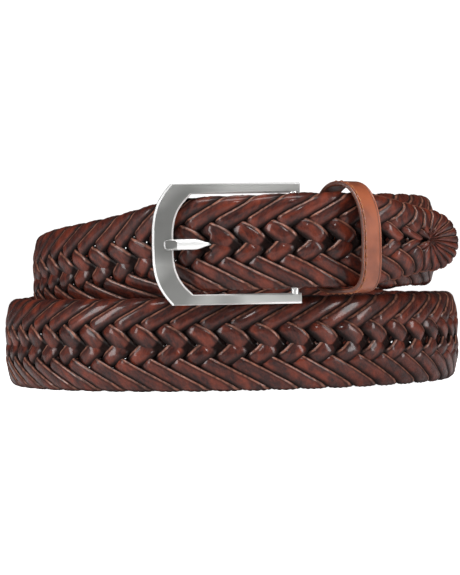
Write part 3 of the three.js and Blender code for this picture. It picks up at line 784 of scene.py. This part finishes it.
@dataclass
class KeeperLoop:
    """Smooth leather loop round both turns of the strap, with a creased line and stitches at its edges."""

    route: StrapRoute
    wall: float = 1.4
    width: float = 8.5
    bulge: float = 5.95
    top_gap: float = 2.2
    foot_gap: float = 0.5
    angle: float = 24.5
    yaw: float = 17.5
    top_roundness: float = 2.25
    foot_roundness: float = 4.0
    steps: int = 240
    corner_radius: float = 0.35
    corner_steps: int = 5
    face_steps: int = 61
    groove_at: float = 0.82
    groove_depth: float = 0.28
    groove_width: float = 0.24
    stitch_length: float = 1.9
    stitch_pitch: float = 2.7
    stitch_radius: float = 0.3
    stitch_at: float = 1.05
    stitch_sunk: float = 0.55
    stitch_fullness: float = 0.6
    stitch_ends: Flat = (0.04, 0.96)
    stitch_rings: int = 9
    stitch_sides: int = 8
    stitch_steps: int = 1800
    fine_steps: int = 4001

    def __post_init__(self) -> None:
        """Places the loop's plane and the two half sizes of its inside."""
        middle_radius = self.route.inner_radius + self.route.stack_pitch / 2.0
        place = polar(self.route.upper_centre, self.angle, middle_radius, self.route.upper_level)
        self.middle = np.array(place)
        turn = math.radians(self.angle + self.yaw)
        self.along = np.array([math.cos(turn), math.sin(turn), 0.0])
        self.out = np.array([math.sin(turn), -math.cos(turn), 0.0])
        self.out_half = self.route.stack_pitch / 2.0 + self.route.thickness / 2.0 + self.bulge

    def loop_point(self, turn: np.ndarray, along: np.ndarray, proud: np.ndarray) -> np.ndarray:
        """Points of the loop: a superellipse grown by proud, rounder above than below.

        Args:
            turn: Angle round the loop.
            along: Place across the loop's width.
            proud: Height over the loop's inner face.

        Returns:
            Points in space.
        """
        below = np.sin(turn) < 0.0
        power = 2.0 / np.where(below, self.foot_roundness, self.top_roundness)
        up_half = self.route.half + np.where(below, self.foot_gap, self.top_gap)
        outward = (self.out_half + proud) * signed_power(np.cos(turn), power)
        high = (up_half + proud) * signed_power(np.sin(turn), power)
        return (
            self.middle
            + self.along * along[..., None]
            + self.out * outward[..., None]
            + UP * high[..., None]
        )

    def even_turns(self, count: int) -> tuple[np.ndarray, float]:
        """Turns at which points lie evenly spaced round the loop's outside, and the length round it."""
        fine = np.linspace(0.0, 2.0 * np.pi, self.fine_steps)
        points = self.loop_point(fine, 0.0 * fine, np.full(fine.shape, self.wall))
        run = np.concatenate([[0.0], np.cumsum(np.linalg.norm(np.diff(points, axis=0), axis=1))])
        return np.interp(np.arange(count) / count * run[-1], run, fine), float(run[-1])

    def section(self) -> np.ndarray:
        """Closed outline across the strap of the loop: place across its width and height of its wall.

        Its corners are rounded, and its outer face is pressed in along a line near each edge.
        """
        half, radius = self.width / 2.0, self.corner_radius
        face = np.linspace(-1.0, 1.0, self.face_steps) * (half - radius)
        groove = np.exp(-((np.abs(face) - (half - self.groove_at)) / self.groove_width) ** 2)
        top = np.stack([face[::-1], self.wall - self.groove_depth * groove[::-1]], axis=1)
        corner = np.linspace(0.0, np.pi / 2.0, self.corner_steps)
        over, aside = radius * np.cos(corner), radius * np.sin(corner)
        left = np.stack([radius - half - aside, self.wall - radius + over], axis=1)[1:]
        low_left = np.stack([radius - half - over, radius - aside], axis=1)
        upper = np.vstack([top, left, low_left])
        right = (np.vstack([left, low_left]) * [-1.0, 1.0])[::-1]
        return np.vstack([upper, right])

    def build(self, leather: Material, thread: Material) -> None:
        """Makes the loop and its row of stitches.

        Args:
            leather: Finish of the loop.
            thread: Finish of the stitches.
        """
        section = self.section()
        turn = self.even_turns(self.steps)[0][:, None]
        along = section[None, :, 0] + 0.0 * turn
        proud = section[None, :, 1] + 0.0 * turn
        points = self.loop_point(turn + 0.0 * along, along, proud)
        loop = tube("keeper_band", points, capped=False)
        set_attribute(loop, "across", along / (self.width / 2.0))
        mount(loop, Slot.PLAIN, leather, "keeper_loop")
        self.stitches(thread)

    def stitches(self, thread: Material) -> None:
        """Makes the row of stitches: each is a short thread, thickest in its middle, sunk at both ends.

        The thread's radius and its height over the leather follow the sine of the way along it.
        """
        steps, rings, sides = self.stitch_steps, self.stitch_rings, self.stitch_sides
        even, around = self.even_turns(steps)
        count = int(round(around / self.stitch_pitch))
        way = np.linspace(0.0, 1.0, rings)[None, :, None]
        start = np.arange(count)[:, None, None] / count
        place = (start + (way - 0.5) * self.stitch_length / around) % 1.0
        turn = np.interp(place, np.arange(steps + 1) / steps, np.append(even, even[0] + 2.0 * np.pi))
        angle = circle(sides)[None, None, :]
        swell = np.sin(np.pi * np.clip(way, *self.stitch_ends)) ** self.stitch_fullness
        aside = self.stitch_radius * swell * np.cos(angle)
        along = self.stitch_at - self.width / 2.0 + aside + 0.0 * turn
        rise = swell * (self.stitch_sunk + np.sin(angle)) - self.stitch_sunk
        lift = self.wall + self.stitch_radius * rise + 0.0 * turn
        points = self.loop_point(turn + 0.0 * along, along, lift)
        single = ring_faces(rings, sides)
        starts = range(0, count * rings * sides, rings * sides)
        faces = [tuple(corner + first for corner in face) for first in starts for face in single]
        piece = mesh_object("keeper_stitches", points.reshape(-1, 3), faces)
        mount(piece, Slot.PLAIN, thread)


@dataclass(frozen=True)
class Shade:
    """A colour in linear light."""

    red: float
    green: float
    blue: float

    def rgba(self, light: float = 1.0) -> tuple[float, float, float, float]:
        """The colour with full opacity, at a share of its light."""
        return self.red * light, self.green * light, self.blue * light, 1.0


class NodeTree:
    """Short calls for building the nodes of one material or group."""

    def __init__(self, tree: bpy.types.NodeTree) -> None:
        """Keeps the tree that the nodes go into."""
        self.tree = tree

    def add(self, kind: str, inputs: dict | None = None, **settings: object) -> bpy.types.Node:
        """Adds a node, sets its own settings and sets or links its inputs.

        Args:
            kind: Node type.
            inputs: For each input's name or number, a value or the output socket that feeds it.
            settings: Values of the node's own settings.

        Returns:
            The node.
        """
        node = self.tree.nodes.new(kind)
        for name, value in settings.items():
            setattr(node, name, value)
        self.feed(node, inputs or {})
        return node

    def feed(self, node: bpy.types.Node, inputs: dict) -> None:
        """Sets or links inputs of a node, each by its name or number."""
        for key, value in inputs.items():
            if isinstance(value, Socket):
                self.tree.links.new(value, node.inputs[key])
            else:
                node.inputs[key].default_value = value

    def math(self, operation: str, first: object, second: object = 0.0) -> Socket:
        """One operation on two values."""
        return self.add("ShaderNodeMath", {0: first, 1: second}, operation=operation).outputs[0]

    def mix(self, share: object, low: object, high: object) -> Socket:
        """Mixes two colours by a share."""
        return self.add("ShaderNodeMix", {0: share, 6: low, 7: high}, data_type="RGBA").outputs[2]

    def mix_value(self, share: object, low: object, high: object) -> Socket:
        """Mixes two numbers by a share."""
        return self.add("ShaderNodeMix", {0: share, 2: low, 3: high}, data_type="FLOAT").outputs[0]

    def spread(self, value: object, low: float, high: float, to_low: float = 0.0,
               to_high: float = 1.0) -> Socket:
        """Maps a value smoothly from one range to another."""
        node = self.add("ShaderNodeMapRange", {0: value, 1: low, 2: high, 3: to_low, 4: to_high},
                        interpolation_type="SMOOTHSTEP")
        return node.outputs[0]

    def band(self, value: object, rise: Flat, fall: Flat) -> Socket:
        """A mask that rises over one range of a value and falls over another."""
        return self.math("MULTIPLY", self.spread(value, *rise), self.spread(value, *fall))

    def tint(self, colour: Socket, mask: Socket, strength: object, shade: Shade) -> Socket:
        """Mixes a shade into a colour where a mask is high."""
        return self.mix(self.math("MULTIPLY", mask, strength), colour, shade.rgba())

    def coordinates(self) -> Socket:
        """The place on the object."""
        return self.add("ShaderNodeTexCoord").outputs["Object"]

    def grain(self, group: bpy.types.NodeTree, pebble: float, crease: float) -> bpy.types.Node:
        """Places the shared leather grain with its own scales."""
        return self.add("ShaderNodeGroup", {0: self.coordinates(), 1: pebble, 2: crease}, node_tree=group)

    def bump(self, height: Socket, strength: float, distance: float) -> Socket:
        """The normal of a surface raised by a height."""
        inputs = {"Strength": strength, "Distance": distance, "Height": height}
        return self.add("ShaderNodeBump", inputs).outputs[0]

    def attribute(self, name: str) -> Socket:
        """One of the piece's own values."""
        return self.add("ShaderNodeAttribute", attribute_name=name).outputs["Fac"]

    def noise(self, vector: object, scale: float, detail: float = 3.0,
              roughness: float = 0.5) -> Socket:
        """Smooth random value of a place."""
        inputs = {"Vector": vector, "Scale": scale, "Detail": detail, "Roughness": roughness}
        return self.add("ShaderNodeTexNoise", inputs).outputs[0]


def new_material(name: str) -> tuple[Material, NodeTree, bpy.types.Node]:
    """An empty material with its Principled shader."""
    material = bpy.data.materials.new(name)
    material.use_nodes = True
    shader = material.node_tree.nodes["Principled BSDF"]
    return material, NodeTree(material.node_tree), shader


@dataclass(frozen=True)
class LeatherGrain:
    """Leather's surface: fine pebbled grain and wandering creases."""

    detail: float = 6.0
    roughness: float = 0.62
    distortion: float = 0.6
    valley_width: float = 0.06
    pebble_reach: float = 0.7
    crease_share: float = 0.6

    def group(self) -> bpy.types.NodeTree:
        """Builds the grain as a group that gives a height and a mottle.

        The creases are the valleys where a smooth noise crosses its middle value.

        Returns:
            The group.
        """
        group = bpy.data.node_groups.new("leather_grain", "ShaderNodeTree")
        for name, way, kind in (("Vector", "INPUT", "Vector"), ("Grain Scale", "INPUT", "Float"),
                                ("Crease Scale", "INPUT", "Float"), ("Height", "OUTPUT", "Float"),
                                ("Mottle", "OUTPUT", "Float")):
            group.interface.new_socket(name, in_out=way, socket_type=f"NodeSocket{kind}")
        nodes = NodeTree(group)
        source = nodes.add("NodeGroupInput")
        vector, grain_scale, crease_scale = (source.outputs[number] for number in range(3))
        grain = nodes.add("ShaderNodeTexVoronoi", {"Vector": vector, "Scale": grain_scale}, feature="F1")
        crease = nodes.add("ShaderNodeTexNoise", {
            "Vector": vector, "Scale": crease_scale, "Detail": self.detail,
            "Roughness": self.roughness, "Distortion": self.distortion,
        }).outputs[0]
        valley = nodes.math("ABSOLUTE", nodes.math("SUBTRACT", crease, 0.5))
        lines = nodes.spread(valley, 0.0, self.valley_width)
        pebble = nodes.spread(grain.outputs["Distance"], 0.0, self.pebble_reach, 1.0, 0.0)
        nodes.add("NodeGroupOutput", {0: nodes.mix_value(self.crease_share, pebble, lines), 1: crease})
        return group


@dataclass(frozen=True)
class BraidLeather:
    """Dark red-brown semi-gloss lace leather, darker toward each strand's edges, with painted shade deep
    between the strands and painted highlights on the strands' upper edges and the tip's folds.
    """

    # Near black: the colour of the darker strand edges and of the painted shade deep between the strands
    deep: Shade = Shade(0.006, 0.0025, 0.002)
    body: Shade = Shade(0.016, 0.0036, 0.0032)
    warm: Shade = Shade(0.165, 0.0275, 0.0115)
    # Painted highlight colour, for each strand's upper edge and the fold crests near the tip
    edge: Shade = Shade(0.29, 0.115, 0.075)
    roughness: Flat = (0.34, 0.54)
    dull_roughness: float = 0.95
    specular: float = 0.17
    coat: float = 0.4
    coat_roughness: float = 0.13
    grain_scale: float = 1500.0
    crease_scale: float = 420.0
    bump: float = 0.35
    bump_height: float = 0.0002
    stretch: Place = (0.4, 1.3, 90.0)
    # Noises as scale, detail and roughness
    blotch_noise: Flat = (0.42, 3.0)
    streak_noise: Place = (1.7, 4.0, 0.6)
    blotch_share: float = 0.65
    blotch_range: Flat = (0.38, 0.72)
    streak_range: Flat = (0.3, 0.75)
    mottle_range: Flat = (0.3, 0.7)
    # Strength of the painted highlight along the strands' upper edges, following the streaks
    highlight_range: Flat = (0.25, 0.8)
    highlight_streak: float = 0.8
    # Where across a strand, and how deep in the braid, each mask rises or falls
    rim_range: Flat = (0.3, 0.84)
    lit_rise: Flat = (0.62, 0.8)
    lit_fall: Flat = (0.97, 0.86)
    painted_shade_range: Flat = (0.68, 0.3)
    tip_highlight_range: Flat = (0.72, 0.98)
    rim_strength: float = 0.97
    painted_shade_strength: float = 0.95
    tip_highlight_strength: float = 0.6
    rim_dulling: float = 0.85

    def tone(self, nodes: NodeTree, across: Socket) -> tuple[Socket, Socket]:
        """Worn tone along each strand, from its own length and number: broad blotches and fine streaks.

        Args:
            nodes: Tree of the material.
            across: Place across the strand.

        Returns:
            The tone and the streaks alone.
        """
        own = (nodes.attribute("length"), across, nodes.attribute("strand"))
        place = nodes.add("ShaderNodeCombineXYZ", {
            axis: nodes.math("MULTIPLY", value, self.stretch[axis]) for axis, value in enumerate(own)
        }).outputs[0]
        blotch = nodes.spread(nodes.noise(place, *self.blotch_noise), *self.blotch_range)
        streak = nodes.spread(nodes.noise(place, *self.streak_noise), *self.streak_range)
        broad = nodes.math("MULTIPLY", blotch, self.blotch_share)
        fine = nodes.math("MULTIPLY", streak, 1.0 - self.blotch_share)
        return nodes.math("ADD", broad, fine), streak

    def material(self, grain: bpy.types.NodeTree) -> Material:
        """Builds the finish from the strand's own values and the shared grain.

        Args:
            grain: Group of leather's surface.

        Returns:
            The finish.
        """
        material, nodes, shader = new_material("braid_leather")
        across = nodes.attribute("across")
        tone, streak = self.tone(nodes, across)
        surface = nodes.grain(grain, self.grain_scale, self.crease_scale)
        # outline: painted highlight on the fold crests near the tip, read from the rim value
        outline = nodes.spread(nodes.attribute("rim"), *self.tip_highlight_range)
        rim = nodes.spread(nodes.math("ABSOLUTE", across), *self.rim_range)
        # lit_edge: painted highlight along each strand's upper edge, stronger along the streaks
        lit_edge = nodes.band(across, self.lit_rise, self.lit_fall)
        highlight_strength = nodes.spread(streak, 0.0, self.highlight_streak, *self.highlight_range)
        # sunk: painted shade deep between the strands, where the depth is low
        sunk = nodes.spread(nodes.attribute("depth"), *self.painted_shade_range)
        colour = nodes.mix(tone, self.body.rgba(), self.warm.rgba())
        colour = nodes.tint(colour, rim, self.rim_strength, self.deep)
        colour = nodes.tint(colour, lit_edge, highlight_strength, self.edge)
        colour = nodes.tint(colour, sunk, self.painted_shade_strength, self.deep)
        colour = nodes.tint(colour, outline, self.tip_highlight_strength, self.edge)
        rough = nodes.spread(surface.outputs["Mottle"], *self.mottle_range, *self.roughness)
        dull = nodes.math("MAXIMUM", sunk, nodes.math("MULTIPLY", rim, self.rim_dulling))
        dull = nodes.math("MULTIPLY", dull, nodes.math("SUBTRACT", 1.0, lit_edge))
        nodes.feed(shader, {
            "Base Color": colour,
            "Roughness": nodes.mix_value(dull, rough, self.dull_roughness),
            "Normal": nodes.bump(surface.outputs["Height"], self.bump, self.bump_height),
            "Coat Weight": nodes.mix_value(dull, self.coat, 0.0),
            "Coat Roughness": self.coat_roughness,
            "Specular IOR Level": self.specular,
        })
        return material


@dataclass(frozen=True)
class PlainLeather:
    """Smooth satin tan-brown leather with a darker edge and a creased line."""

    name: str = "plain_leather"
    dark: Shade = Shade(0.15, 0.036, 0.015)
    light: Shade = Shade(0.31, 0.085, 0.036)
    edge: Shade = Shade(0.03, 0.01, 0.007)
    roughness: float = 0.38
    coat: float = 0.2
    grain_scale: float = 2600.0
    crease_scale: float = 300.0
    tone_noise: Flat = (90.0, 3.0)
    bump: float = 0.2
    bump_height: float = 0.0001
    edge_strength: float = 0.8
    tone_range: Flat = (0.3, 0.7)
    groove_rise: Flat = (0.74, 0.80)
    groove_fall: Flat = (0.87, 0.81)
    edge_range: Flat = (0.95, 1.0)

    def material(self, grain: bpy.types.NodeTree) -> Material:
        """Builds the finish on object coordinates and the shared grain.

        Args:
            grain: Group of leather's surface.

        Returns:
            The finish.
        """
        material, nodes, shader = new_material(self.name)
        surface = nodes.grain(grain, self.grain_scale, self.crease_scale)
        tone = nodes.spread(nodes.noise(nodes.coordinates(), *self.tone_noise), *self.tone_range)
        across = nodes.math("ABSOLUTE", nodes.attribute("across"))
        colour = nodes.mix(tone, self.dark.rgba(), self.light.rgba())
        groove = nodes.band(across, self.groove_rise, self.groove_fall)
        for mask in (groove, nodes.spread(across, *self.edge_range)):
            colour = nodes.tint(colour, mask, self.edge_strength, self.edge)
        nodes.feed(shader, {
            "Base Color": colour,
            "Normal": nodes.bump(surface.outputs["Height"], self.bump, self.bump_height),
            "Roughness": self.roughness,
            "Coat Weight": self.coat,
        })
        return material


@dataclass(frozen=True)
class BuckleMetal:
    """Nickel: satin faces brushed along the frame, or bright polish, whose near-white base at half metallic
    is a painted reflection.
    """

    name: str
    tone: Shade
    roughness: float
    brush: float
    metallic: float = 1.0
    dim: float = 0.5
    brush_scale: Place = (60.0, 60.0, 2400.0)
    drift_noise: Flat = (42.0, 1.0)
    line_noise: Place = (1.0, 3.0, 0.6)
    drift_range: Flat = (0.4, 0.6)
    line_range: Flat = (0.3, 0.7)
    bump_height: float = 0.00004

    def material(self) -> Material:
        """Builds the metal: fine brushed lines in its roughness and height, and a slow drift of its tone."""
        material, nodes, shader = new_material(self.name)
        place = nodes.coordinates()
        stretched = nodes.add("ShaderNodeMapping", {"Vector": place, "Scale": self.brush_scale})
        lines = nodes.noise(stretched.outputs[0], *self.line_noise)
        change = self.brush / 3.0
        drift = nodes.spread(nodes.noise(place, *self.drift_noise), *self.drift_range)
        rough = (self.roughness - change, self.roughness + change)
        nodes.feed(shader, {
            "Base Color": nodes.mix(drift, self.tone.rgba(self.dim), self.tone.rgba()),
            "Roughness": nodes.spread(lines, *self.line_range, *rough),
            "Normal": nodes.bump(lines, self.brush, self.bump_height),
            "Metallic": self.metallic,
        })
        return material


@dataclass
class Studio:
    """Pale floor, soft lights and the camera, which stands low in front of the buckle."""

    camera_distance: float = 803.0
    camera_height: float = 38.0
    camera_right: float = -0.19
    camera_pitch: float = 0.24
    camera_roll: float = 1.05
    lens: float = 135.0
    sensor: float = 36.0
    far_limit: float = 100.0
    seen_world: float = 1.1
    floor_half: float = 6000.0
    ambient: float = 0.045
    floor_glow: float = 1.0
    floor_roughness: float = 0.8
    floor_tone: Shade = Shade(0.95, 0.95, 0.95)
    aim: Place = (0.0, 0.0, 35.0)
    # Rows of name, place, size and power in watts
    lights: tuple = (
        ("top_light", (-60.0, -420.0, 620.0), (700.0, 220.0), 4.4),
        ("left_light", (-800.0, -420.0, 260.0), (260.0, 500.0), 4.6),
        ("right_light", (760.0, -420.0, 260.0), (260.0, 500.0), 4.6),
        ("front_light", (120.0, -1000.0, 420.0), (120.0, 100.0), 1.15),
    )

    def camera(self, route: StrapRoute) -> None:
        """Sets the camera at the photograph's place, level with the lower turn and rolled slightly."""
        data = bpy.data.cameras.new("camera")
        data.lens = self.lens
        data.sensor_width = self.sensor
        data.clip_end = self.far_limit
        camera = linked("camera", data)
        place = (self.camera_right, route.coil_centre[1] - self.camera_distance, self.camera_height)
        turn = Matrix.Rotation(math.radians(90.0 - self.camera_pitch), 4, "X")
        roll = Matrix.Rotation(math.radians(-self.camera_roll), 4, "Z")
        camera.matrix_world = Matrix.Translation([value * MM for value in place]) @ turn @ roll
        bpy.context.scene.camera = camera

    def light(self, name: str, place: Place, size: Flat, power: float) -> None:
        """Adds one soft rectangular light that faces the belt.

        Args:
            name: Name of the light.
            place: Where it stands.
            size: Its width and height.
            power: Its power in watts.
        """
        data = bpy.data.lights.new(name, "AREA")
        data.shape = "RECTANGLE"
        data.size, data.size_y = size[0] * MM, size[1] * MM
        data.energy = power
        lamp = linked(name, data)
        away = np.array(place) - np.array(self.aim)
        distance = float(np.linalg.norm(away))
        yaw = math.atan2(away[0], -away[1])
        pitch = math.acos(away[2] / distance)
        lamp.rotation_euler = (pitch, 0.0, yaw)
        lamp.location = [value * MM for value in place]

    def world(self) -> None:
        """Lights the scene evenly and shows white behind the belt."""
        bpy.context.scene.view_settings.view_transform = "Standard"
        world = bpy.data.worlds.new("studio")
        world.use_nodes = True
        bpy.context.scene.world = world
        nodes = NodeTree(world.node_tree)
        seen = nodes.add("ShaderNodeLightPath").outputs["Is Camera Ray"]
        background = world.node_tree.nodes["Background"]
        strength = nodes.spread(seen, 0.0, 1.0, self.ambient, self.seen_world)
        nodes.feed(background, {"Color": WHITE, "Strength": strength})

    def floor(self) -> None:
        """Lays the pale floor, which isn't part of the belt."""
        corners = np.array([(-1, -1, 0), (1, -1, 0), (1, 1, 0), (-1, 1, 0)]) * self.floor_half
        floor = mesh_object("floor", corners, [(0, 1, 2, 3)])
        material, nodes, shader = new_material("pale_floor")
        seen = nodes.add("ShaderNodeLightPath").outputs["Is Camera Ray"]
        nodes.feed(shader, {
            "Base Color": self.floor_tone.rgba(),
            "Roughness": self.floor_roughness,
            "Emission Color": WHITE,
            "Emission Strength": nodes.math("MULTIPLY", seen, self.floor_glow),
        })
        floor.data.materials.append(material)

    def build(self, route: StrapRoute) -> None:
        """Builds the floor, lights and camera."""
        self.camera(route)
        self.world()
        self.floor()
        for row in self.lights:
            self.light(*row)


def main() -> None:
    """Builds the studio and every piece of the belt."""
    logging.basicConfig(level=logging.INFO, format="%(name)s %(message)s")
    route = StrapRoute()
    log.info("strap length %.1f", route.length)
    Studio().build(route)
    grain = LeatherGrain().group()
    plain = PlainLeather().material(grain)
    thread = PlainLeather(
        "keeper_thread", dark=Shade(0.16, 0.045, 0.012), light=Shade(0.36, 0.12, 0.035),
    ).material(grain)
    satin = BuckleMetal(
        "satin_nickel", Shade(0.80, 0.80, 0.775), roughness=0.30, brush=0.07,
    ).material()
    # Near-white base at half metallic, so the bevels, heel bar and prong show bright from every side: a
    # painted reflection
    polish = BuckleMetal(
        "polished_nickel", Shade(1.0, 1.0, 0.99), roughness=0.24, brush=0.03, metallic=0.5, dim=0.9,
    ).material()
    PlaitedStrap(route).build(BraidLeather().material(grain))
    BuckleFrame(route).build(satin, polish)
    Prong(route).build(polish, satin)
    KeeperLoop(route).build(plain, thread)
    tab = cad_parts["buckle_tab"]
    tab.data.materials.clear()
    tab.data.materials.append(plain)


if __name__ == "__main__":
    main()
